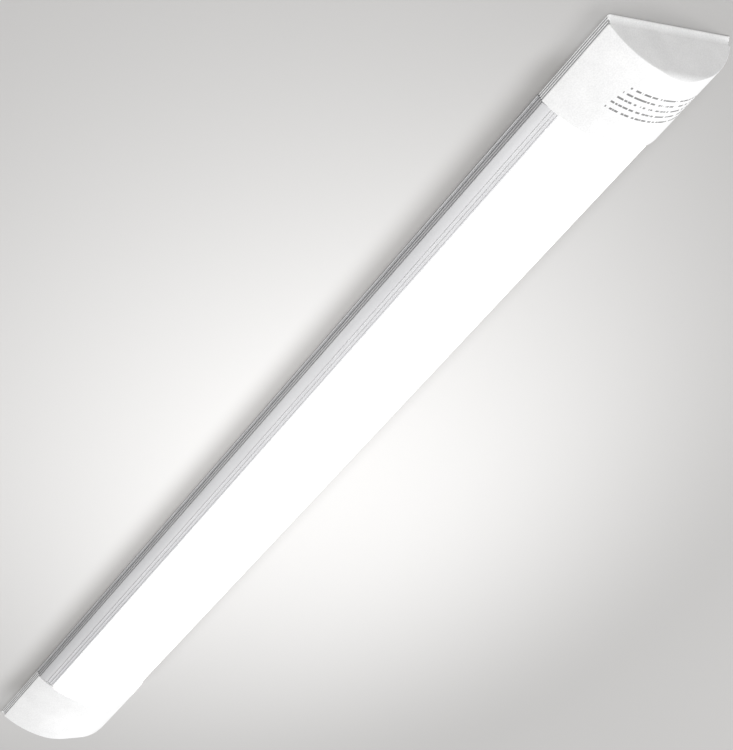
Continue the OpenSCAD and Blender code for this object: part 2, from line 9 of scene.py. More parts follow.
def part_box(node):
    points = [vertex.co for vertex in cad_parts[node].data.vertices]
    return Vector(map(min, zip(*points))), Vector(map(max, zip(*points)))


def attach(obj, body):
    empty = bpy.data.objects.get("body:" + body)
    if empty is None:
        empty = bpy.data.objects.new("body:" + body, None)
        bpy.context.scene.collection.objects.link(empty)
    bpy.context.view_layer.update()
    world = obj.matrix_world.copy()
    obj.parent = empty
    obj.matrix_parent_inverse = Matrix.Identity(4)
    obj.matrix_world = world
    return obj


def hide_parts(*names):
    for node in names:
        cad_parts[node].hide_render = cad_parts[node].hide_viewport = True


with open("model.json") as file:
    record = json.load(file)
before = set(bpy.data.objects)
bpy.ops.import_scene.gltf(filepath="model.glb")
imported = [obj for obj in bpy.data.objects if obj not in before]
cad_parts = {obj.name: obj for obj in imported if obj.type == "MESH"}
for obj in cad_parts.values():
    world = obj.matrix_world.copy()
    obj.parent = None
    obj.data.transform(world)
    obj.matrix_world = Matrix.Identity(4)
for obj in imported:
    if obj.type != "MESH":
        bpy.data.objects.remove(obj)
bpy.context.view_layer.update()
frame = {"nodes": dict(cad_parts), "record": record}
bpy.context.scene.view_settings.view_transform = "Standard"
print("frame loaded:", len(frame["nodes"]), "parts")


def boxMm(node):
    # lowest and highest corner of a CAD part, in millimetres
    low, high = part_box(node)
    return np.array(low) * 1000, np.array(high) * 1000


# ---- camera

cameraView = {
    "azimuth": 134.86,        # degrees, 0 looks along +Y, 90 along -X
    "elevation": 27.6,
    "roll": -157.18,          # about the view axis; brings the grooved side up
    "distance": 1029.9,       # mm from the aim point
    "aim": (58.83, 6.64, 10.0),
    "lens": 101.4,
}


def makeCamera(view):
    # direction = (sin a cos e, -cos a cos e, sin e); the upright frame is then rolled about it
    a, e, roll = (math.radians(view[key]) for key in ("azimuth", "elevation", "roll"))
    aim = Vector(view["aim"]) * 0.001
    out = Vector((math.sin(a) * math.cos(e), -math.cos(a) * math.cos(e), math.sin(e)))
    right = (-out).cross(Vector((0, 0, 1))).normalized()
    up = right.cross(-out)
    upRolled = up * math.cos(roll) + right * math.sin(roll)
    rightRolled = (-out).cross(upRolled)
    camera = bpy.data.cameras.new("studioCamera")
    camera.lens = view["lens"]
    camera.sensor_width = 36
    camera.clip_start = 0.01
    holder = bpy.data.objects.new("studioCamera", camera)
    bpy.context.scene.collection.objects.link(holder)
    place = aim + out * view["distance"] * 0.001
    holder.matrix_world = Matrix([
        (rightRolled[k], upRolled[k], out[k], place[k]) for k in range(3)
    ] + [(0, 0, 0, 1)])
    bpy.context.scene.camera = holder


makeCamera(cameraView)
print("camera placed")


# ---- light

studioLight = {
    "room": 0.42,             # even light from all round
    "lamps": {                # place and aim in mm, side lengths in mm, watts
        "softboxTop": {"at": (-450, 150, 1300), "aim": (-450, 150, 0), "size": (3600, 2200),
                       "watts": 22.5},
        "softboxSide": {"at": (-250, -1500, 1080), "aim": (0, 0, 0), "size": (620, 420),
                        "watts": 14.0},
        "softboxFront": {"at": (1000, 900, 480), "aim": (60, 0, 10), "size": (800, 500),
                         "watts": 3.0},
        "softboxLow": {"at": (150, 1600, 240), "aim": (0, 0, 0), "size": (2600, 340),
                       "watts": 5.0},
    },
}


def makeLights(values):
    world = bpy.data.worlds.new("studioRoom")
    bpy.context.scene.world = world
    world.use_nodes = True
    room = world.node_tree.nodes["Background"]
    room.inputs["Color"].default_value = (1, 1, 1, 1)
    room.inputs["Strength"].default_value = values["room"]
    for name, lamp in values["lamps"].items():
        light = bpy.data.lights.new(name, "AREA")
        light.shape = "RECTANGLE"
        light.size, light.size_y = (side * 0.001 for side in lamp["size"])
        light.energy = lamp["watts"]
        holder = bpy.data.objects.new(name, light)
        bpy.context.scene.collection.objects.link(holder)
        place = Vector(lamp["at"]) * 0.001
        holder.location = place
        towards = Vector(lamp["aim"]) * 0.001 - place
        holder.rotation_euler = towards.to_track_quat("-Z", "Y").to_euler()
        holder.visible_camera = False


makeLights(studioLight)
print("lights placed")


# ---- material helpers

def linearColour(code):
    # sRGB hex to linear: ((c + 0.055) / 1.055) ^ 2.4, straight c / 12.92 near black
    parts = [int(code[k:k + 2], 16) / 255 for k in (1, 3, 5)]
    return tuple(((c + 0.055) / 1.055) ** 2.4 if c > 0.04045 else c / 12.92 for c in parts) + (1.0,)


def addNode(tree, kind, settings):
    # a setting names a property, or a socket by its name or number; another node's output given
    # as a value is linked
    node = tree.nodes.new(kind)
    named = [key for key in settings if isinstance(key, str) and hasattr(node, key)]
    for key in named:
        setattr(node, key, settings[key])
    for key, value in settings.items():
        if key in named:
            continue
        if isinstance(value, bpy.types.NodeSocket):
            tree.links.new(value, node.inputs[key])
        else:
            node.inputs[key].default_value = value
    return node


noiseSpan = {"From Min": 0.35, "From Max": 0.65}      # where most of a noise pattern's values lie


def startMaterial(name, settings, *patterns):
    # a Principled surface with its own settings, coordinates in millimetres on the object, and a
    # noise for each pattern: its features' sizes in mm along x, y and z, its detail and roughness
    material = bpy.data.materials.new(name)
    material.use_nodes = True
    tree = material.node_tree
    tree.nodes.clear()
    shader = addNode(tree, "ShaderNodeBsdfPrincipled", settings)
    addNode(tree, "ShaderNodeOutputMaterial", {"Surface": shader.outputs[0]})
    place = addNode(tree, "ShaderNodeTexCoord", {})
    mm = addNode(tree, "ShaderNodeVectorMath",
                 {"operation": "SCALE", 0: place.outputs["Object"], "Scale": 1000.0}).outputs[0]
    noises = []
    for sizes, detail, rough in patterns:
        cells = addNode(tree, "ShaderNodeVectorMath",
                        {"operation": "MULTIPLY", 0: mm, 1: tuple(1 / size for size in sizes)})
        noise = addNode(tree, "ShaderNodeTexNoise", {"Vector": cells.outputs[0], "Scale": 1.0,
                                                     "Detail": detail, "Roughness": rough})
        noises.append(noise.outputs[0])
    return material, tree, shader, mm, *noises


def finishMaterial(tree, shader, sockets, pattern, relief, roughness=None):
    # sockets takes the shader's inputs; the pattern raises the surface by relief mm, and leads
    # the roughness from its low to its high where these are given
    bump = addNode(tree, "ShaderNodeBump",
                   {"Strength": 1.0, "Distance": relief * 0.001, "Height": pattern})
    ends = {**sockets, "Normal": bump.outputs[0]}
    if roughness:
        smooth, rough = roughness
        satin = addNode(tree, "ShaderNodeMapRange", {**noiseSpan, "Value": pattern,
                                                     "To Min": smooth, "To Max": rough})
        ends["Roughness"] = satin.outputs[0]
    for name, source in ends.items():
        tree.links.new(source, shader.inputs[name])


# ---- materials

def grooveShadeMask(tree, mm, box):
    # 1 inside the grooves of both lips: |(|p| - middle)| <= reach along x, y and z. Painted shade
    # darkens these hollows.
    middle, reach = box
    mirrored = addNode(tree, "ShaderNodeVectorMath", {"operation": "ABSOLUTE", 0: mm})
    split = addNode(tree, "ShaderNodeSeparateXYZ", {0: mirrored.outputs[0]})
    inside = [addNode(tree, "ShaderNodeMath", {"operation": "COMPARE", 0: split.outputs[k],
                                               1: middle[k], 2: reach[k]}) for k in range(3)]
    along = addNode(tree, "ShaderNodeMath", {"operation": "MULTIPLY", 0: inside[0].outputs[0],
                                             1: inside[1].outputs[0]})
    return addNode(tree, "ShaderNodeMath", {"operation": "MULTIPLY", 0: along.outputs[0],
                                            1: inside[2].outputs[0]}).outputs[0]


extrusionFinish = {
    "colour": "#F0F0F1", "dark": "#CECED0", "roughness": (0.3, 0.46),
    "dieLine": (900, 0.3, 0.3), "cloud": (90, 7, 7), "cloudShare": (0.1, 0.3), "lineShare": 0.6,
    # hollow: painted shade in the lip grooves
    "relief": 0.006, "hollow": "#BEBEC0", "grooves": ((300, 36.25, 2.7), (300, 0.3, 1.75)),
}


def anodisedExtrusion(values):
    # Satin anodised extruded aluminium: soft grey sheen, long fine die lines, faint cloudy streaks,
    # and painted shade in the grooves.
    material, tree, shader, mm, lines, cloud = startMaterial(
        "anodisedExtrusion", {"Metallic": 1.0}, (values["dieLine"], 3.0, 0.5),
        (values["cloud"], 2.0, 0.5))
    low, high = values["cloudShare"]
    streak = addNode(tree, "ShaderNodeMapRange", {**noiseSpan, "Value": cloud, "To Min": low,
                                                  "To Max": high})
    both = addNode(tree, "ShaderNodeMath", {"operation": "MULTIPLY_ADD", 0: lines,
                                            1: values["lineShare"], 2: streak.outputs[0]})
    tone = addNode(tree, "ShaderNodeMix",
                   {"data_type": "RGBA", 0: both.outputs[0], 6: linearColour(values["dark"]),
                    7: linearColour(values["colour"])})
    # painted shade: the grooves take the darker hollow colour
    colour = addNode(tree, "ShaderNodeMix",
                     {"data_type": "RGBA", 0: grooveShadeMask(tree, mm, values["grooves"]),
                      6: tone.outputs[2], 7: linearColour(values["hollow"])})
    finishMaterial(tree, shader, {"Base Color": colour.outputs[2]}, lines, values["relief"],
                   values["roughness"])
    return material


opalFinish = {
    "colour": "#F4F4F1", "light": "#FFFFFD", "glow": 1.1, "edgeGlow": 0.95, "rowY": 9.0,
    "fade": 20.0, "roughness": (0.34, 0.44), "skin": (40, 0.6, 0.6), "relief": 0.002,
}


def litOpal(values):
    # Opal polycarbonate, extruded and lit from behind: even white glow, a breath stronger over the
    # two rows of light sources, on a satin skin.
    material, tree, shader, mm, skin = startMaterial(
        "opalPolycarbonateLit", {"Base Color": linearColour(values["colour"]), "IOR": 1.585,
                                 "Emission Color": linearColour(values["light"])},
        (values["skin"], 2.0, 0.5))
    split = addNode(tree, "ShaderNodeSeparateXYZ", {0: mm})
    sideways = addNode(tree, "ShaderNodeMath", {"operation": "ABSOLUTE", 0: split.outputs[1]})
    off = addNode(tree, "ShaderNodeMath",
                  {"operation": "SUBTRACT", 0: sideways.outputs[0], 1: values["rowY"]})
    away = addNode(tree, "ShaderNodeMath", {"operation": "ABSOLUTE", 0: off.outputs[0]})
    glow = addNode(tree, "ShaderNodeMapRange",
                   {"Value": away.outputs[0], "From Min": 0.0, "From Max": values["fade"],
                    "To Min": values["glow"], "To Max": values["edgeGlow"]})
    finishMaterial(tree, shader, {"Emission Strength": glow.outputs[0]}, skin, values["relief"],
                   values["roughness"])
    return material


mouldedFinishes = {
    # name: colour, second colour, roughness low and high, grain mm, relief mm, cloud mm, IOR
    "mouldedAbs": ("#F9F9F9", "#E6E6E6", 0.42, 0.56, 0.7, 0.06, 14, 1.54),
    "mouldedNylon": ("#EDE6D3", "#E2D9C2", 0.35, 0.5, 0.3, 0.008, 6, 1.53),
    "polyesterTape": ("#E8B93A", "#D9A528", 0.2, 0.35, 0.5, 0.01, 3, 1.58),
    "shrinkSleeve": ("#20222B", "#2B2E3A", 0.22, 0.34, 0.8, 0.006, 4, 1.53),
    "filmCapacitorCase": ("#D9A92F", "#C99820", 0.3, 0.42, 0.35, 0.008, 4, 1.54),
    "mouldedEpoxy": ("#17181A", "#202124", 0.45, 0.6, 0.18, 0.01, 3, 1.55),
    "ceramicFuse": ("#9A7650", "#86633F", 0.3, 0.45, 0.3, 0.008, 3, 1.6),
    "dippedEpoxy": ("#1E4FA0", "#173F86", 0.14, 0.26, 1.1, 0.03, 3, 1.55),
    "mouldedRubber": ("#1C1C1D", "#262627", 0.55, 0.72, 0.25, 0.012, 4, 1.52),
    "brownPvc": ("#5B3A25", "#6A4630", 0.32, 0.44, 0.5, 0.008, 6, 1.53),
    "bluePvc": ("#2A5DA8", "#24519A", 0.32, 0.44, 0.5, 0.008, 6, 1.53),
    "redPvc": ("#B3261F", "#A01F1A", 0.32, 0.44, 0.5, 0.008, 6, 1.53),
    "blackPvc": ("#19191A", "#222223", 0.32, 0.44, 0.5, 0.008, 6, 1.53),
    "sinteredFerrite": ("#38393C", "#47484B", 0.5, 0.7, 0.2, 0.02, 2, 1.9),
}
flowShare, speckleShare = 0.35, 0.5           # of the second colour, from the flow and the grain

# painted shade: the caps' lip grooves take a darker hollow colour
capGrooveShade = {"hollow": "#ABABAC", "box": ((274, 36.4, 2.2), (24.2, 0.34, 1.8))}

inkBlock = {
    "ink": "#7C7C7C", "firstRow": 266.9, "pitch": 3.35, "rows": 5, "barWidth": 1.0,
    "from": -31.0, "to": 22.0, "above": 9.0, "barPitch": 1.8, "rowSeed": 17.3, "gaps": 0.47,
    "stagger": (4.0, 0.6),    # rows in a run, and how far each one starts further in
}


def inkMask(tree, mm, values):
    # five rows of plain short bars: a row where |x - row| is under half a bar's width, broken
    # along y by noise; every sum below names its result for the sums that follow
    split = addNode(tree, "ShaderNodeSeparateXYZ", {0: mm})
    known = dict(zip("xyz", split.outputs))
    run, indent = values["stagger"]
    sums = [
        ("past", "SUBTRACT", "x", values["firstRow"]), ("count", "DIVIDE", "past", values["pitch"]),
        ("row", "ROUND", "count"), ("off", "SUBTRACT", "count", "row"), ("away", "ABSOLUTE", "off"),
        ("onRow", "LESS_THAN", "away", values["barWidth"] / 2 / values["pitch"]),
        ("notBefore", "GREATER_THAN", "row", -0.5),
        ("notAfter", "LESS_THAN", "row", values["rows"] - 0.5),
        ("turn", "PINGPONG", "row", run), ("shift", "MULTIPLY", "turn", indent),
        ("start", "SUBTRACT", values["to"], "shift"), ("begun", "LESS_THAN", "y", "start"),
        ("notEnded", "GREATER_THAN", "y", values["from"]),
        ("onTop", "GREATER_THAN", "z", values["above"]),
        ("seed", "MULTIPLY", "row", values["rowSeed"]),
        ("cell", "DIVIDE", "y", values["barPitch"]),
    ]
    for result, operation, *terms in sums:
        known[result] = addNode(tree, "ShaderNodeMath", {"operation": operation, **{
            k: known[term] if isinstance(term, str) else term
            for k, term in enumerate(terms)}}).outputs[0]
    place = addNode(tree, "ShaderNodeCombineXYZ", {0: known["seed"], 1: known["cell"]})
    cells = addNode(tree, "ShaderNodeTexNoise",
                    {"Vector": place.outputs[0], "Scale": 1.0, "Detail": 2.0})
    ink = addNode(tree, "ShaderNodeMath", {"operation": "GREATER_THAN", 0: cells.outputs[0],
                                           1: values["gaps"]}).outputs[0]
    for limit in ("onRow", "notBefore", "notAfter", "begun", "notEnded", "onTop"):
        ink = addNode(tree, "ShaderNodeMath",
                      {"operation": "MULTIPLY", 0: ink, 1: known[limit]}).outputs[0]
    return ink


def mouldedPlastic(name, grooves=None, ink=None):
    # Injection moulded or dipped plastic: the tool's fine matte grain as relief, roughness that
    # wanders with it, and a faint drift of colour where the melt flowed.
    colour, second, smooth, rough, grain, relief, cloud, ior = mouldedFinishes[name]
    material, tree, shader, mm, fine, drift = startMaterial(
        name + ("Printed" if ink else ""), {"IOR": ior}, ((grain,) * 3, 2.0, 0.6),
        ((cloud,) * 3, 2.0, 0.5))
    flow = addNode(tree, "ShaderNodeMapRange", {**noiseSpan, "Value": drift})
    speckle = addNode(tree, "ShaderNodeMapRange", {**noiseSpan, "Value": fine, "To Min": 0.0,
                                                   "To Max": speckleShare})
    tone = addNode(tree, "ShaderNodeMath", {"operation": "MULTIPLY_ADD", 0: flow.outputs[0],
                                            1: flowShare, 2: speckle.outputs[0]})
    body = addNode(tree, "ShaderNodeMix", {"data_type": "RGBA", 0: tone.outputs[0],
                                           6: linearColour(colour), 7: linearColour(second)})
    # painted shade in the grooves, where given
    if grooves:
        body = addNode(tree, "ShaderNodeMix",
                       {"data_type": "RGBA", 0: grooveShadeMask(tree, mm, grooves["box"]),
                        6: body.outputs[2], 7: linearColour(grooves["hollow"])})
    if ink:
        body = addNode(tree, "ShaderNodeMix", {"data_type": "RGBA", 0: inkMask(tree, mm, ink),
                                               6: body.outputs[2], 7: linearColour(ink["ink"])})
    finishMaterial(tree, shader, {"Base Color": body.outputs[2]}, fine, relief, (smooth, rough))
    return material


metalFinishes = {
    # name: colour, second colour, roughness low and high, streak mm, relief mm
    "zincPlatedSteel": ("#C9CBCE", "#B4B7BB", 0.24, 0.4, (0.8, 0.8, 0.8), 0.006),
    "rolledSpringSteel": ("#BFC0C2", "#A9ABAE", 0.2, 0.34, (14, 0.16, 0.16), 0.004),
    "turnedBrass": ("#D9B65C", "#C39E45", 0.2, 0.34, (0.12, 1.5, 1.5), 0.005),
    "tinnedCopper": ("#CDCCC8", "#B9B4AA", 0.25, 0.38, (0.6, 0.6, 0.6), 0.006),
}


def metalSurface(name):
    # Plated, rolled or turned metal: crisp glints broken up by the plating's bloom or the tool's
    # streaks.
    colour, second, smooth, rough, streak, relief = metalFinishes[name]
    material, tree, shader, mm, marks = startMaterial(name, {"Metallic": 1.0}, (streak, 3.0, 0.5))
    share = addNode(tree, "ShaderNodeMapRange", {**noiseSpan, "Value": marks})
    tone = addNode(tree, "ShaderNodeMix", {"data_type": "RGBA", 0: share.outputs[0],
                                           6: linearColour(colour), 7: linearColour(second)})
    finishMaterial(tree, shader, {"Base Color": tone.outputs[2]}, marks, relief, (smooth, rough))
    return material


boardFinishes = {
    # name: mask colour, colour over the tracks, roughness, track pitch mm, relief mm
    "whiteSoldermask": ("#F3F4F1", "#E7E9E5", 0.3, 5.0, 0.04),
    "greenSoldermask": ("#1C5B36", "#2A7A4A", 0.25, 3.2, 0.04),
}


def circuitBoard(name):
    # Glass-epoxy board under solder mask: tracks show as slightly lighter, slightly raised runs.
    mask, track, rough, pitch, relief = boardFinishes[name]
    material, tree, shader, mm = startMaterial(
        name, {"IOR": 1.55, "Roughness": rough, "Coat Weight": 0.3, "Coat Roughness": 0.15})
    runs = addNode(tree, "ShaderNodeTexBrick",
                   {"Scale": 1.0 / pitch, "Mortar Size": 0.14, "Mortar Smooth": 0.1,
                    "Brick Width": 2.6, "Row Height": 1.0, "Color1": (0, 0, 0, 1),
                    "Color2": (0, 0, 0, 1), "Mortar": (1, 1, 1, 1), "Vector": mm})
    tone = addNode(tree, "ShaderNodeMix", {"data_type": "RGBA", 0: runs.outputs[0],
                                           6: linearColour(mask), 7: linearColour(track)})
    finishMaterial(tree, shader, {"Base Color": tone.outputs[2]}, runs.outputs[0], relief)
    return material


lightSource = {"phosphor": "#F2D25A", "frame": "#F4F2EA", "pitch": 9.416667, "rowY": 9.0,
               "lens": (0.95, 1.2), "rim": (0.94, 1.06)}


def phosphorBlocks(values):
    # Surface mounted light sources: a white moulded frame round a domed yellow phosphor window.
    material, tree, shader, mm = startMaterial("phosphorWindow", {"IOR": 1.5, "Roughness": 0.3})
    pitch = values["pitch"]
    split = addNode(tree, "ShaderNodeSeparateXYZ", {0: mm})
    shifted = addNode(tree, "ShaderNodeMath",
                      {"operation": "ADD", 0: split.outputs[0], 1: 1000 * pitch})
    wrapped = addNode(tree, "ShaderNodeMath",
                      {"operation": "WRAP", 0: shifted.outputs[0], 1: 0.0, 2: pitch})
    alongX = addNode(tree, "ShaderNodeMath",
                     {"operation": "SUBTRACT", 0: wrapped.outputs[0], 1: pitch / 2})
    sideways = addNode(tree, "ShaderNodeMath", {"operation": "ABSOLUTE", 0: split.outputs[1]})
    alongY = addNode(tree, "ShaderNodeMath",
                     {"operation": "SUBTRACT", 0: sideways.outputs[0], 1: values["rowY"]})
    place = addNode(tree, "ShaderNodeCombineXYZ", {0: alongX.outputs[0], 1: alongY.outputs[0]})
    scaled = addNode(tree, "ShaderNodeVectorMath", {"operation": "DIVIDE", 0: place.outputs[0],
                                                    1: values["lens"] + (1.0,)})
    reach = addNode(tree, "ShaderNodeVectorMath", {"operation": "LENGTH", 0: scaled.outputs[0]})
    near, far = values["rim"]
    inside = addNode(tree, "ShaderNodeMapRange",
                     {"Value": reach.outputs["Value"], "From Min": near, "From Max": far,
                      "To Min": 1.0, "To Max": 0.0})
    tone = addNode(tree, "ShaderNodeMix",
                   {"data_type": "RGBA", 0: inside.outputs[0], 6: linearColour(values["frame"]),
                    7: linearColour(values["phosphor"])})
    tree.links.new(tone.outputs[2], shader.inputs["Base Color"])
    return material


stripedPvc = {"green": "#2E8B3D", "yellow": "#E8D530", "scale": 0.16, "edge": (0.46, 0.54)}


def stripedInsulation(values):
    # Green and yellow PVC earth insulation: two stripes along the wire.
    material, tree, shader, mm = startMaterial("greenYellowPvc", {"IOR": 1.53, "Roughness": 0.36})
    stripe = addNode(tree, "ShaderNodeTexWave",
                     {"bands_direction": "Z", "Vector": mm, "Scale": values["scale"],
                      "Distortion": 0.6, "Detail": 1.0})
    near, far = values["edge"]
    edge = addNode(tree, "ShaderNodeMapRange", {"Value": stripe.outputs[1], "From Min": near,
                                                "From Max": far, "To Min": 0.0, "To Max": 1.0})
    tone = addNode(tree, "ShaderNodeMix",
                   {"data_type": "RGBA", 0: edge.outputs[0], 6: linearColour(values["green"]),
                    7: linearColour(values["yellow"])})
    tree.links.new(tone.outputs[2], shader.inputs["Base Color"])
    return material


slotMaterials = {
    "satin_aluminium": anodisedExtrusion(extrusionFinish),
    "opal_diffuser": litOpal(opalFinish),
    "white_moulding": mouldedPlastic("mouldedAbs", capGrooveShade),
    "zinc_steel": metalSurface("zincPlatedSteel"),
    "spring_steel": metalSurface("rolledSpringSteel"),
    "white_soldermask": circuitBoard("whiteSoldermask"),
    "led_phosphor": phosphorBlocks(lightSource),
    "green_board": circuitBoard("greenSoldermask"),
    "cream_nylon": mouldedPlastic("mouldedNylon"),
    "ferrite": mouldedPlastic("sinteredFerrite"),
    "yellow_tape": mouldedPlastic("polyesterTape"),
    "capacitor_sleeve": mouldedPlastic("shrinkSleeve"),
    "film_case": mouldedPlastic("filmCapacitorCase"),
    "black_epoxy": mouldedPlastic("mouldedEpoxy"),
    "brown_fuse": mouldedPlastic("ceramicFuse"),
    "blue_epoxy": mouldedPlastic("dippedEpoxy"),
    "brass_sleeve": metalSurface("turnedBrass"),
    "black_rubber": mouldedPlastic("mouldedRubber"),
    "brown_pvc": mouldedPlastic("brownPvc"),
    "blue_pvc": mouldedPlastic("bluePvc"),
    "red_pvc": mouldedPlastic("redPvc"),
    "black_pvc": mouldedPlastic("blackPvc"),
    "green_yellow_pvc": stripedInsulation(stripedPvc),
    "tinned_copper": metalSurface("tinnedCopper"),
}
nodeSlots = {part["node"]: part["material_slot"] for part in frame["record"]["subparts"]}
for node, part in frame["nodes"].items():
    part.data.materials.clear()
    part.data.materials.append(slotMaterials[nodeSlots[node]])
print("materials given to", len(nodeSlots), "CAD parts")


# ---- mesh helpers

def gridFaces(rows, columns, closed=False):
    # quads between neighbouring rows and columns; closed also joins the last column to the first
    r = np.arange(rows - 1)[:, None]
    c = np.arange(columns if closed else columns - 1)[None, :]
    n = (c + 1) % columns
    quads = np.stack([r * columns + c, r * columns + n, (r + 1) * columns + n,
                      (r + 1) * columns + c], -1)
    return quads.reshape(-1, 4).tolist()


def buildMesh(name, points, faces, sharpAngle=32):
    # points in mm; doubles merge, loose slivers go, normals are made to point outwards
    mesh = bpy.data.meshes.new(name)
    mesh.from_pydata((np.asarray(points) * 0.001).tolist(), [], faces)
    work = bmesh.new()
    work.from_mesh(mesh)
    bmesh.ops.remove_doubles(work, verts=work.verts, dist=2e-6)
    bmesh.ops.dissolve_degenerate(work, edges=work.edges, dist=1e-6)
    bmesh.ops.recalc_face_normals(work, faces=work.faces)
    work.to_mesh(mesh)
    work.free()
    mesh.shade_smooth()
    mesh.set_sharp_from_angle(angle=math.radians(sharpAngle))
    piece = bpy.data.objects.new(name, mesh)
    bpy.context.scene.collection.objects.link(piece)
    return piece


def finishPiece(piece, body, slot, *nodes):
    piece.data.materials.clear()
    piece.data.materials.append(slotMaterials[slot])
    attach(piece, body)
    if nodes:
        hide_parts(*nodes)
    return piece


def freeze(piece, sharpAngle=32):
    # the piece's modifiers become its mesh
    shape = bpy.data.meshes.new_from_object(
        piece.evaluated_get(bpy.context.evaluated_depsgraph_get()))
    piece.modifiers.clear()
    old, piece.data = piece.data, shape
    bpy.data.meshes.remove(old)
    shape.name = piece.name
    shape.shade_smooth()
    shape.set_sharp_from_angle(angle=math.radians(sharpAngle))


def carve(piece, tools):
    # each tool is taken away from the piece, or joined to it, and then discarded
    for tool, operation in tools:
        step = piece.modifiers.new(tool.name, "BOOLEAN")
        step.solver = "EXACT"
        step.operation = operation
        step.object = tool
    bpy.context.view_layer.update()
    freeze(piece)
    for tool, operation in tools:
        shape = tool.data
        bpy.data.objects.remove(tool)
        bpy.data.meshes.remove(shape)


def roundCorners(corners, radii, steps=5):
    # a circle arc in each corner: centre = corner + bisector * r / sin(half angle), its ends at
    # r / tan(half angle) along the two sides; points between the ends turn evenly about the centre
    p = np.asarray(corners, float)
    r = np.broadcast_to(np.asarray(radii, float), len(p))
    back = np.roll(p, 1, 0) - p
    ahead = np.roll(p, -1, 0) - p
    back /= np.linalg.norm(back, axis=1)[:, None]
    ahead /= np.linalg.norm(ahead, axis=1)[:, None]
    half = np.arccos(np.clip((back * ahead).sum(1), -1, 1)) / 2
    bisector = back + ahead
    length = np.linalg.norm(bisector, axis=1)
    bisector /= np.where(length > 1e-6, length, 1)[:, None]
    centre = p + bisector * (r / np.sin(half))[:, None]
    first = p + back * (r / np.tan(half))[:, None] - centre
    last = p + ahead * (r / np.tan(half))[:, None] - centre
    turn = np.maximum(math.pi - 2 * half, 1e-6)
    t = np.linspace(0, 1, steps)[None, :]
    w0 = np.sin((1 - t) * turn[:, None]) / np.sin(turn)[:, None]
    w1 = np.sin(t * turn[:, None]) / np.sin(turn)[:, None]
    arcs = centre[:, None] + first[:, None] * w0[..., None] + last[:, None] * w1[..., None]
    arcs = np.where((r > 0)[:, None, None], arcs, p[:, None]).reshape(-1, 2)
    step = np.linalg.norm(arcs - np.roll(arcs, 1, 0), axis=1)
    return arcs[step > 1e-4]


def mirrorHalf(right):
    # the right-hand outline (y, z) followed by its mirror image
    right = np.asarray(right, float)
    return np.concatenate([right, right[::-1] * (-1, 1)])


def sweepAlongX(name, outline, stations, sharpAngle=32):
    # outline (y, z) repeated at each x station, with a flat face at both ends
    outline = np.asarray(outline, float)
    rows, columns = len(stations), len(outline)
    points = np.zeros((rows, columns, 3))
    points[..., 0] = np.asarray(stations, float)[:, None]
    points[..., 1:] = outline[None]
    faces = gridFaces(rows, columns, True)
    faces += [list(range(columns)), list(range((rows - 1) * columns, rows * columns))]
    return buildMesh(name, points.reshape(-1, 3), faces, sharpAngle)


def revolveAboutZ(name, profile, centre, steps=48, offset=0.0, sharpAngle=32):
    # profile (r, z) turned about a vertical axis through centre, its ends closing at a pole;
    # offset turns the first column, so that two round tools never share an edge
    profile = np.asarray(profile, float)
    angle = offset + np.arange(steps) * 2 * math.pi / steps
    r, z = profile[:, 0][:, None], profile[:, 1][:, None]
    points = np.stack([centre[0] + r * np.cos(angle), centre[1] + r * np.sin(angle),
                       z + 0 * angle], -1)
    faces = gridFaces(len(profile), steps, True)
    return buildMesh(name, points.reshape(-1, 3), faces, sharpAngle)


def circleThrough(half, rise):
    # radius of the circle over a chord of half-length half that rises by rise
    return (half * half + rise * rise) / (2 * rise)


def grooveCorners(faceY, starts, wide, deep):
    # four corners (y, z) for each groove cut into an upright face, from its lower edge up
    face, back = np.full_like(starts, faceY), np.full_like(starts, faceY - deep)
    return np.stack([np.stack([face, starts], 1), np.stack([back, starts], 1),
                     np.stack([back, starts + wide], 1), np.stack([face, starts + wide], 1)],
                    1).reshape(-1, 2)


def arcPoints(radius, centreZ, fromY, toY, count):
    # points on a circle about (0, centreZ), evenly spaced by angle from y = fromY to y = toY
    angle = np.linspace(math.asin(fromY / radius), math.asin(toY / radius), count)
    return np.stack([radius * np.sin(angle), centreZ + radius * np.cos(angle)], 1)


# ---- aluminium base

baseLow, baseHigh = boxMm("base_extrusion")
baseProfile = {
    "footStep": 0.8, "foot": 0.9, "wall": 1.3, "lip": 4.5, "run": 6.9,
    "grooveWidth": 0.66, "grooveDepth": 0.45, "grooveStart": 1.02, "groovePitch": 1.28,
    "grooves": 3, "crest": 0.12, "grooveEdge": (0.2, 0.08, 0.08, 0.12),
    "beadRadius": 0.5, "beadSunk": 0.2, "beadAt": (0.55, 0.73, 0.89), "beadSteps": 9,
    "floor": (5.2, 6.4), "rail": (0.6, 1.6, 1.8), "rib": (26.9, 28.2, 9.6),
    "edge": 0.18,             # small radius that the die leaves on every edge
    "footEdge": 0.32, "cornerSteps": 4, "sharp": 28,
}


def shoulderPoints(values, start, end):
    # straight from start to end; where a bead lies the line rises to sqrt(r^2 - d^2) - sunk
    start, end = np.asarray(start, float), np.asarray(end, float)
    length = np.linalg.norm(end - start)
    along = (end - start) / length
    outward = np.array([along[1], -along[0]])
    r, sunk = values["beadRadius"], values["beadSunk"]
    reach = math.acos(sunk / r)
    angle = np.linspace(-reach, reach, values["beadSteps"])[None, :]
    middle = np.array(values["beadAt"])[:, None] * length
    s = (middle + r * np.sin(angle)).ravel()
    h = (r * np.cos(angle) - sunk + 0 * middle).ravel()
    return start + along * s[:, None] + outward * h[:, None]


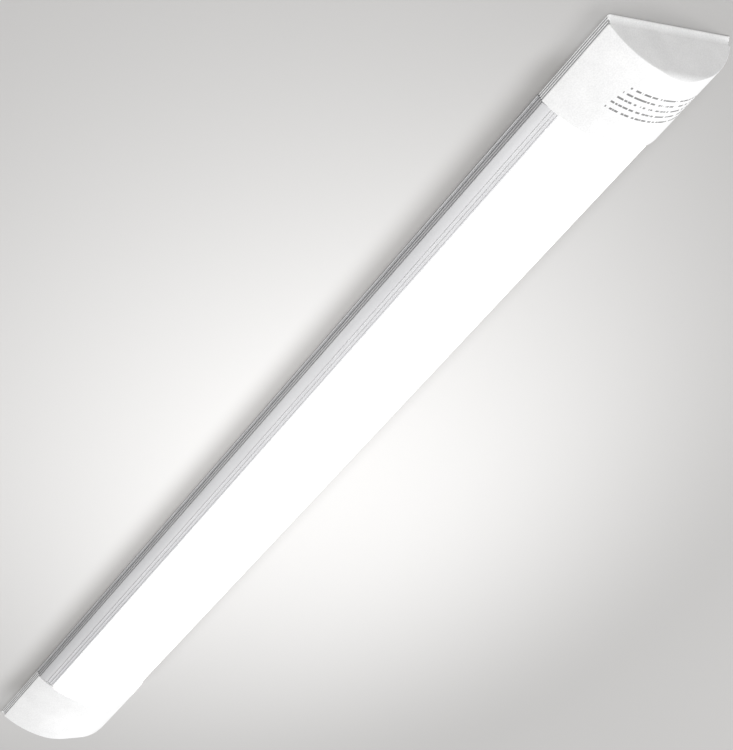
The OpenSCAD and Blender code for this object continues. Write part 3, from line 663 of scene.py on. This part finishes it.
def makeBase(values):
    halfFoot, top = baseHigh[1], baseHigh[2]
    lipY = halfFoot - values["footStep"]
    inY = lipY - values["wall"]
    ridgeY = lipY - values["run"]
    slope = (top - values["lip"]) / values["run"]
    drop = values["wall"] * math.hypot(1, slope)          # wall thickness measured straight down

    def underAt(y):
        return values["lip"] + (lipY - y) * slope - drop

    railLow, railHigh, railWide = values["rail"]
    floorLow, floorHigh = values["floor"]
    ribIn, ribOut, ribTop = values["rib"]
    first = values["grooveStart"] + np.arange(values["grooves"]) * values["groovePitch"]
    grooves = grooveCorners(lipY, first, values["grooveWidth"], values["grooveDepth"])
    floorMeetsY = lipY - (floorLow + drop - values["lip"]) / slope
    floorTopY = lipY - (floorHigh + drop - values["lip"]) / slope
    lower = [(floorMeetsY, floorLow), (inY, underAt(inY)), (inY, railHigh),
             (inY - railWide, railHigh), (inY - railWide, railLow), (inY, railLow), (inY, 0),
             (halfFoot, 0), (halfFoot, values["foot"]), (lipY, values["foot"])]
    lowerRadii = np.full(len(lower), values["edge"])
    lowerRadii[-3:-1] = values["footEdge"]
    beads = shoulderPoints(values, (lipY, values["lip"]), (ridgeY, top))
    upper = [(ridgeY, top), (ridgeY, underAt(ridgeY)), (floorTopY, floorHigh), (ribOut, floorHigh),
             (ribOut, ribTop), (ribIn, ribTop), (ribIn, floorHigh)]
    right = np.concatenate([lower, grooves, [(lipY, values["lip"])], beads, upper])
    radii = np.concatenate([lowerRadii, np.tile(values["grooveEdge"], values["grooves"]),
                            [values["crest"]], np.zeros(len(beads)),
                            np.full(len(upper), values["edge"])])
    outline = roundCorners(mirrorHalf(right), np.concatenate([radii, radii[::-1]]),
                           values["cornerSteps"])
    stations = np.linspace(baseLow[0], baseHigh[0], 3)
    base = sweepAlongX("extrudedBase", outline, stations, values["sharp"])
    return finishPiece(base, "batten", "satin_aluminium", "base_extrusion")


makeBase(baseProfile)
print("aluminium base made")


# ---- diffuser

diffuserLow, diffuserHigh = boxMm("diffuser")
diffuserProfile = {"halfWidth": 29.6, "rise": 13.1, "wall": 1.3, "legIn": 28.4, "legBottom": 6.8,
                   "hook": (7.92, 9.18), "edge": 0.15, "outerSteps": 97, "innerSteps": 81,
                   "cornerSteps": 4}


def makeDiffuser(values):
    top, hookY = diffuserHigh[2], diffuserHigh[1]
    half = values["halfWidth"]
    radius = circleThrough(half, values["rise"])
    centreZ = top - radius
    inner = radius - values["wall"]
    outer = arcPoints(radius, centreZ, half, -half, values["outerSteps"])
    inside = arcPoints(inner, centreZ, -values["legIn"], values["legIn"], values["innerSteps"])
    hookLow, hookHigh = values["hook"]
    leg = np.array([(half, hookHigh), (hookY, hookLow), (hookY, values["legBottom"]),
                    (values["legIn"], values["legBottom"])])
    corners = np.concatenate([outer, leg * (-1, 1), inside, leg[::-1]])
    radii = np.concatenate([np.zeros(len(outer)), np.full(4, values["edge"]),
                            np.zeros(len(inside)), np.full(4, values["edge"])])
    outline = roundCorners(corners, radii, values["cornerSteps"])
    stations = np.linspace(diffuserLow[0], diffuserHigh[0], 3)
    return finishPiece(sweepAlongX("opalDiffuser", outline, stations), "batten",
                       "opal_diffuser", "diffuser")


makeDiffuser(diffuserProfile)
print("diffuser made")


# ---- end caps

capHigh = boxMm("end_cap_driver")[1]
capShape = {
    "length": 50.0, "strip": 4.0, "wall": 2.0, "rim": 0.9, "rimEdge": 0.3,
    "inset": 2.2, "lean": 0.19, "crown": 4.0,
    "groove": (0.5, 1.15, 0.62, 0.45), "grooves": 3,      # first height, pitch, width, depth
    "grooveEdge": (0.2, 0.08, 0.08, 0.2),
    "corner": 1.0, "edge": 0.3, "bottomEdge": 0.25, "archEnd": 0.9995,
    "archSteps": 44, "acrossSteps": 17, "arcSteps": 5, "straightSteps": 5, "coveSteps": 6,
    "roomSteps": 61, "spigotSteps": 41, "mouthWall": 2.0, "mouthOpen": 5.2,
    "tongue": (14.0, 30.0, 2.8), "tongueCorner": 0.4, "tongueSunk": 0.05,
    "spigot": (6.0, 1.2, 24.4), "spigotGap": 0.3, "mouthBand": 3.0, "bandStart": 0.02,
    "bandStep": 0.3,
    "screwFromMouth": 7.0, "screwY": 14.0, "screwHole": 1.6, "screwHead": (2.9, 1.5),
    "toolTurn": 0.03,         # radians that set a hole's corners off from a post's
}


def archedBody(hy, crown, startX, endX, lip, values):
    # Skin: columns run along x from the mouth, over a rounded edge, to the end face.
    # The end face is x = endX up to the rim, then a hollow circle of radius
    # R = (inset^2 + rise^2) / (2 inset) that reaches x = endX - inset at the strip's top, and
    # x = endX - inset - lean * (z - strip) above it, with a circle where it meets the roof; its
    # rows join matching columns.
    strip, inset, lean = values["strip"], values["inset"], values["lean"]
    crownR, rimEdge, edge = values["crown"], values["rimEdge"], values["edge"]
    radius = circleThrough(hy, crown - strip)
    centreZ = crown - radius
    k = math.hypot(1, lean)

    def panelX(z):
        return endX - inset - lean * (z - strip)

    circleZ = crown - crownR
    circleX = panelX(circleZ) - crownR * k
    tangentZ = circleZ + crownR * lean / k

    def faceX(z):
        onCircle = circleX + np.sqrt(np.maximum(crownR ** 2 - (z - circleZ) ** 2, 0))
        return np.where(z > tangentZ, onCircle, panelX(z))

    arch = arcPoints(radius, centreZ, hy * values["archEnd"], 0, values["archSteps"])
    archN = (arch - (0, centreZ)) / radius
    archN[:, 1] *= np.clip((arch[:, 1] - strip) / (3 * edge), 0, 1)
    half = np.concatenate([lip, arch])
    normals = np.concatenate([np.tile((1.0, 0.0), (len(lip), 1)), archN])
    turn = np.concatenate([np.full(len(lip), values["corner"]), np.full(len(arch), edge)])
    rise = strip - values["rim"]
    coveR = circleThrough(rise, inset)
    down = np.minimum(strip - lip[:, 1], rise)
    stripEnd = endX - inset + coveR - np.sqrt(coveR ** 2 - down ** 2)
    stripEnd -= rimEdge - np.sqrt(np.maximum(
        rimEdge ** 2 - np.maximum(rimEdge - lip[:, 1], 0) ** 2, 0))
    outline = np.concatenate([half, half[-2::-1] * (-1, 1)])
    normals = np.concatenate([normals, normals[-2::-1] * (-1, 1)])
    turn = np.concatenate([turn, turn[-2::-1]])
    isLip = np.abs(np.arange(len(outline)) - len(half) + 1) >= len(arch)
    lipEnd = np.zeros(len(outline))
    lipEnd[:len(lip)] = stripEnd
    lipEnd[-len(lip):] = stripEnd[::-1]
    angle = np.linspace(0, math.pi / 2, values["arcSteps"])[:, None]
    inward = turn * (1 - np.cos(angle))
    edgeYz = outline[None] - normals[None] * inward[..., None]
    ends = np.where(isLip, lipEnd, faceX(edgeYz[..., 1]))
    arcX = ends - turn + turn * np.sin(angle)
    share = np.linspace(0, 1, values["straightSteps"] + 1)[:-1, None]
    straightX = startX + (arcX[0] - startX) * share
    straight = np.concatenate([straightX[..., None],
                               np.broadcast_to(outline, (len(share),) + outline.shape)], -1)
    skin = np.concatenate([straight, np.concatenate([arcX[..., None], edgeYz], -1)])
    rows, columns = skin.shape[:2]
    faces = gridFaces(rows, columns)
    # end face
    across, middle = values["acrossSteps"], len(half)
    right = skin[-1][:middle]
    face = np.repeat(right[:, None], across, 1)
    face[..., 1] = right[:, None, 1] * np.linspace(1, -1, across)
    offset = rows * columns
    faces += (np.array(gridFaces(middle, across)) + offset).tolist()
    points = np.concatenate([skin.reshape(-1, 3), face.reshape(-1, 3)])
    # flat underside and flat mouth
    rightSide = [row * columns for row in range(rows)]
    leftSide = [row * columns + columns - 1 for row in range(rows)]
    faces.append(rightSide + list(range(offset + 1, offset + across - 1)) + leftSide[::-1])
    faces.append(list(range(columns)))
    return points, faces


def lipColumn(hy, values):
    # half the side lip (y, z) from the underside up: rounded bottom edge, the grooves with their
    # crests rounded, then close rows up the end's hollow curve
    top, count = values["strip"], values["coveSteps"]
    first, pitch, wide, deep = values["groove"]
    starts = first + np.arange(values["grooves"]) * pitch
    corners = np.concatenate([[(0, 0), (hy, 0)], grooveCorners(hy, starts, wide, deep),
                              [(hy, top), (0, top)]])
    radii = np.concatenate([[0, values["bottomEdge"]],
                            np.tile(values["grooveEdge"], values["grooves"]), [0, 0]])
    column = roundCorners(corners, radii, 4)
    column = column[(column[:, 0] > 1) & (column[:, 1] < top - 1e-6)]
    rows = np.linspace(column[-1, 1], top, count + 1)[1:]
    return np.concatenate([column, np.stack([np.full(count, hy), rows], 1)])


def makeCap(name, node, side, values):
    # side is 1 at the driver end and -1 at the mains end
    hy, crown, endX = capHigh[1], capHigh[2], capHigh[0]
    mouth = endX - values["length"]
    wall, strip = values["wall"], values["strip"]
    radius = circleThrough(hy, crown - strip)
    centreZ = crown - radius
    flip = np.array([side, 1, 1])
    points, faces = archedBody(hy, crown, mouth, endX, lipColumn(hy, values), values)
    cap = buildMesh(name, points * flip, faces)

    def tool(label, outline, fromX, toX):
        return sweepAlongX(label, outline, np.array([fromX, toX]) * side)

    # room inside: arch one wall in, floor one wall up, end wall parallel to the panel
    innerR, inY = radius - wall, hy - wall
    backX = endX - values["inset"] - wall
    arch = arcPoints(innerR, centreZ, inY, -inY, values["roomSteps"])
    room = np.concatenate([[(-inY, wall), (inY, wall)], arch])
    columns = len(room)
    inside = np.zeros((2, columns, 3))
    inside[0, :, 0] = mouth + values["mouthWall"]
    inside[1, :, 0] = backX - values["lean"] * (room[:, 1] - strip)
    inside[..., 1:] = room
    roomTool = buildMesh("roomTool", inside.reshape(-1, 3) * flip,
                         gridFaces(2, columns, True) + [list(range(columns)),
                                                        list(range(columns, 2 * columns))])
    openZ = values["mouthOpen"]
    openY = math.sqrt(innerR ** 2 - (openZ - centreZ) ** 2)
    opening = arcPoints(innerR, centreZ, openY, -openY, values["roomSteps"])
    openTool = tool("openTool", opening, mouth - 1, mouth + values["mouthWall"] + 0.5)
    tools = [(roomTool, "DIFFERENCE"), (openTool, "DIFFERENCE")]
    # band at the mouth and the spigot that slides inside the diffuser
    reach, thick, spigotY = values["spigot"]
    count, bandStep = values["spigotSteps"], values["bandStep"]
    diffuserR = circleThrough(diffuserProfile["halfWidth"], diffuserProfile["rise"])
    spigotR = diffuserR - diffuserProfile["wall"] - values["spigotGap"]
    spigotZ = diffuserHigh[2] - diffuserR
    bandY = spigotY + bandStep
    bandOuter = arcPoints(radius - wall / 2, centreZ, bandY, -bandY, count)
    bandInner = arcPoints(spigotR - thick - bandStep, spigotZ, -bandY, bandY, count)
    tools.append((tool("bandTool", np.concatenate([bandOuter, bandInner]),
                       mouth + values["bandStart"], mouth + values["mouthBand"]), "UNION"))
    spigotOuter = arcPoints(spigotR, spigotZ, spigotY, -spigotY, count)
    spigotInner = arcPoints(spigotR - thick, spigotZ, -spigotY, spigotY, count)
    tools.append((tool("spigotTool", np.concatenate([spigotOuter, spigotInner]), mouth - reach,
                       mouth + values["mouthBand"] / 2), "UNION"))
    # fixing tongue with its two countersunk holes
    tongueL, tongueY, tongueZ = values["tongue"]
    tongueTop = openZ - values["tongueSunk"]
    tongue = roundCorners([(-tongueY, tongueZ), (tongueY, tongueZ), (tongueY, tongueTop),
                           (-tongueY, tongueTop)], values["tongueCorner"])
    tools.append((tool("tongueTool", tongue, mouth - tongueL, mouth + 1), "UNION"))
    headR, headH = values["screwHead"]
    holeR = values["screwHole"]
    for t in (-1, 1):
        centre = (side * (mouth - values["screwFromMouth"]), t * values["screwY"])
        profile = [(0, tongueZ - 1), (headR, tongueZ - 1), (headR, tongueZ),
                   (holeR, tongueZ + headH), (holeR, openZ + 1), (0, openZ + 1)]
        tools.append((revolveAboutZ("screwTool", profile, centre, 40, values["toolTurn"]),
                      "DIFFERENCE"))
    fittings = driverPosts if side > 0 else mainsFittings
    carve(cap, tools + fittings(values))
    finishPiece(cap, "batten", "white_moulding", node)
    if side > 0:
        cap.data.materials[0] = mouldedPlastic("mouldedAbs", capGrooveShade, inkBlock)
    return cap


driverMount = {"x": 273.5, "dx": 17.0, "dy": 18.2, "radius": 2.8, "hole": 1.0, "top": 4.5,
               "from": 1.0, "fillet": (0.3, 0.05, 0.5)}    # its reach, its start and end heights


def driverPosts(values):
    # four posts with blind holes that carry the driver board
    tools = []
    m = driverMount
    wall, low, top, radius = values["wall"], m["from"], m["top"], m["radius"]
    reach, start, end = m["fillet"]
    post = [(0, low), (radius + reach, low), (radius + reach, wall + start), (radius, wall + end),
            (radius, top), (0, top)]
    hole = [(0, low), (m["hole"], low), (m["hole"], top + 1), (0, top + 1)]
    for s in (-1, 1):
        for t in (-1, 1):
            centre = (m["x"] + s * m["dx"], t * m["dy"])
            tools.append((revolveAboutZ("postTool", post, centre, 32), "UNION"))
            tools.append((revolveAboutZ("holeTool", hole, centre, 24, values["toolTurn"]),
                          "DIFFERENCE"))
    return tools


mainsMount = {"padX": -267.0, "padL": 18.0, "padHalf": 15.0, "padTop": 3.6, "holeY": 4.5,
              "hole": 1.3, "holeTop": 6.0, "grommetX": -286.5, "pad": 10.0, "panel": 1.8,
              "bore": 6.0, "recess": 8.0, "from": 1.0, "ringFrom": 0.5, "corner": 0.3}


def mainsFittings(values):
    # pad under the terminal block, and the recessed panel that holds the cable grommet
    m = mainsMount
    low, half, corner, turn = m["from"], m["padHalf"], m["corner"], values["toolTurn"]
    outline = roundCorners([(-half, low), (half, low), (half, m["padTop"]), (-half, m["padTop"])],
                           corner)
    pad = sweepAlongX("padTool", outline, (m["padX"] - m["padL"] / 2, m["padX"] + m["padL"] / 2))
    top = m["panel"] + values["wall"]
    ring = [(0, m["ringFrom"]), (m["pad"], m["ringFrom"]), (m["pad"], top - corner),
            (m["pad"] - corner, top), (0, top)]
    hole = [(0, low), (m["hole"], low), (m["hole"], m["holeTop"]), (0, m["holeTop"])]
    bore = [(0, -1), (m["recess"], -1), (m["recess"], m["panel"]), (m["bore"], m["panel"]),
            (m["bore"], top + 1), (0, top + 1)]
    at = (m["grommetX"], 0)
    return [(pad, "UNION"), (revolveAboutZ("ringTool", ring, at, 64), "UNION"),
            (revolveAboutZ("blockHole", hole, (m["padX"], m["holeY"]), 24, turn), "DIFFERENCE"),
            (revolveAboutZ("boreTool", bore, at, 64, turn), "DIFFERENCE")]


makeCap("endCapDriver", "end_cap_driver", 1, capShape)
makeCap("endCapMains", "end_cap_mains", -1, capShape)
print("end caps made")


# ---- mounting clips

clipShape = {"flat": 26.0, "ramp": 3.0, "sheet": 0.8, "wing": (1.9, 34.9), "bend": 0.9,
             "tip": 0.2, "holeY": 15.0, "hole": 2.25}


def makeClip(name, node, body, values):
    # folded strip: flat, two ramps and two wings, the bends one sheet larger outside than inside
    low, high = boxMm(node)
    wingZ, wingY = values["wing"]
    sheet, bend = values["sheet"], values["bend"]
    lower = [(values["flat"], 0), (values["flat"] + values["ramp"], wingZ)]
    k = sheet * math.tan(math.atan2(wingZ, values["ramp"]) / 2)
    upper = [(values["flat"] + values["ramp"] - k, wingZ + sheet), (values["flat"] - k, sheet)]
    right = np.array(lower + [(wingY, wingZ), (wingY, wingZ + sheet)] + upper)
    radii = np.array([bend + sheet, bend, values["tip"], values["tip"], bend + sheet, bend])
    outline = roundCorners(mirrorHalf(right), np.concatenate([radii, radii[::-1]]), 7)
    clip = sweepAlongX(name, outline, (low[0], high[0]))
    middle = (low[0] + high[0]) / 2
    drill = [(0, -1), (values["hole"], -1), (values["hole"], 2), (0, 2)]
    carve(clip, [(revolveAboutZ("drillTool", drill, (middle, t * values["holeY"]), 40,
                                capShape["toolTurn"]), "DIFFERENCE") for t in (-1, 1)])
    return finishPiece(clip, body, "spring_steel", node)


makeClip("springClipA", "mounting_clip_a", "clip_a", clipShape)
makeClip("springClipB", "mounting_clip_b", "clip_b", clipShape)
print("clips made")


# ---- floor

studioFloor = {
    # pale to deep, about centre, turn and reach: a painted pool of light that darkens away from the
    # middle
    "half": 6000.0, "drop": 0.02, "pale": "#E9E8E7", "deep": "#B0AFAE",
    "centre": (-42.0, -34.0, 0.0), "turn": -44.9, "reach": (560.0, 325.0, 1e6),
    # shade, shadeBox, shadeAt and shadeReach: a painted shadow on the floor beside the foot
    "shade": "#DDDCDB", "shadeBox": (262.0, 35.0, 100.0), "shadeAt": 2.0, "shadeReach": 25.0,
    "grain": 1.5, "relief": 0.01,
}


def makeFloor(values):
    # a flat sheet of pale board with a painted pool of light: its colour darkens softly away from
    # the middle
    side = np.linspace(-values["half"], values["half"], 3)
    x, y = np.meshgrid(side, side, indexing="ij")
    points = np.stack([x, y, 0 * x - values["drop"]], -1).reshape(-1, 3)
    floor = buildMesh("studioFloor", points, gridFaces(3, 3))
    if floor.data.polygons[0].normal.z < 0:
        floor.data.flip_normals()
    material, tree, shader, mm, grain = startMaterial(
        "matteBoard", {"Roughness": 0.85, "IOR": 1.4, "Specular IOR Level": 0.2},
        ((values["grain"],) * 3, 2.0, 0.5))
    # painted pool of light: tone by length((turned p - centre) / reach)
    turned = addNode(tree, "ShaderNodeVectorRotate",
                     {"rotation_type": "Z_AXIS", "Vector": mm, "Center": values["centre"],
                      "Angle": math.radians(values["turn"])})
    near = addNode(tree, "ShaderNodeVectorMath",
                   {"operation": "SUBTRACT", 0: turned.outputs[0], 1: values["centre"]})
    scaled = addNode(tree, "ShaderNodeVectorMath",
                     {"operation": "DIVIDE", 0: near.outputs[0], 1: values["reach"]})
    reach = addNode(tree, "ShaderNodeVectorMath", {"operation": "LENGTH", 0: scaled.outputs[0]})
    fade = addNode(tree, "ShaderNodeMapRange",
                   {"interpolation_type": "SMOOTHSTEP", "Value": reach.outputs["Value"],
                    "From Min": 0.0, "From Max": 1.0})
    tone = addNode(tree, "ShaderNodeMix",
                   {"data_type": "RGBA", 0: fade.outputs[0], 6: linearColour(values["pale"]),
                    7: linearColour(values["deep"])})
    # a painted shadow beside the foot: length(max(|p - at| - box, 0)) against its reach
    moved = addNode(tree, "ShaderNodeVectorMath",
                    {"operation": "SUBTRACT", 0: mm, 1: (0.0, values["shadeAt"], 0.0)})
    mirrored = addNode(tree, "ShaderNodeVectorMath", {"operation": "ABSOLUTE", 0: moved.outputs[0]})
    beyond = addNode(tree, "ShaderNodeVectorMath",
                     {"operation": "SUBTRACT", 0: mirrored.outputs[0], 1: values["shadeBox"]})
    outside = addNode(tree, "ShaderNodeVectorMath",
                      {"operation": "MAXIMUM", 0: beyond.outputs[0], 1: (0.0, 0.0, 0.0)})
    gap = addNode(tree, "ShaderNodeVectorMath", {"operation": "LENGTH", 0: outside.outputs[0]})
    soft = addNode(tree, "ShaderNodeMapRange",
                   {"interpolation_type": "SMOOTHSTEP", "Value": gap.outputs["Value"],
                    "From Min": 0.0, "From Max": values["shadeReach"], "To Min": 1.0,
                    "To Max": 0.0})
    shaded = addNode(tree, "ShaderNodeMix",
                     {"data_type": "RGBA", "blend_type": "MULTIPLY", 0: soft.outputs[0],
                      6: tone.outputs[2], 7: linearColour(values["shade"])})
    finishMaterial(tree, shader, {"Base Color": shaded.outputs[2]}, grain, values["relief"])
    floor.data.materials.append(material)


makeFloor(studioFloor)
print("floor made")
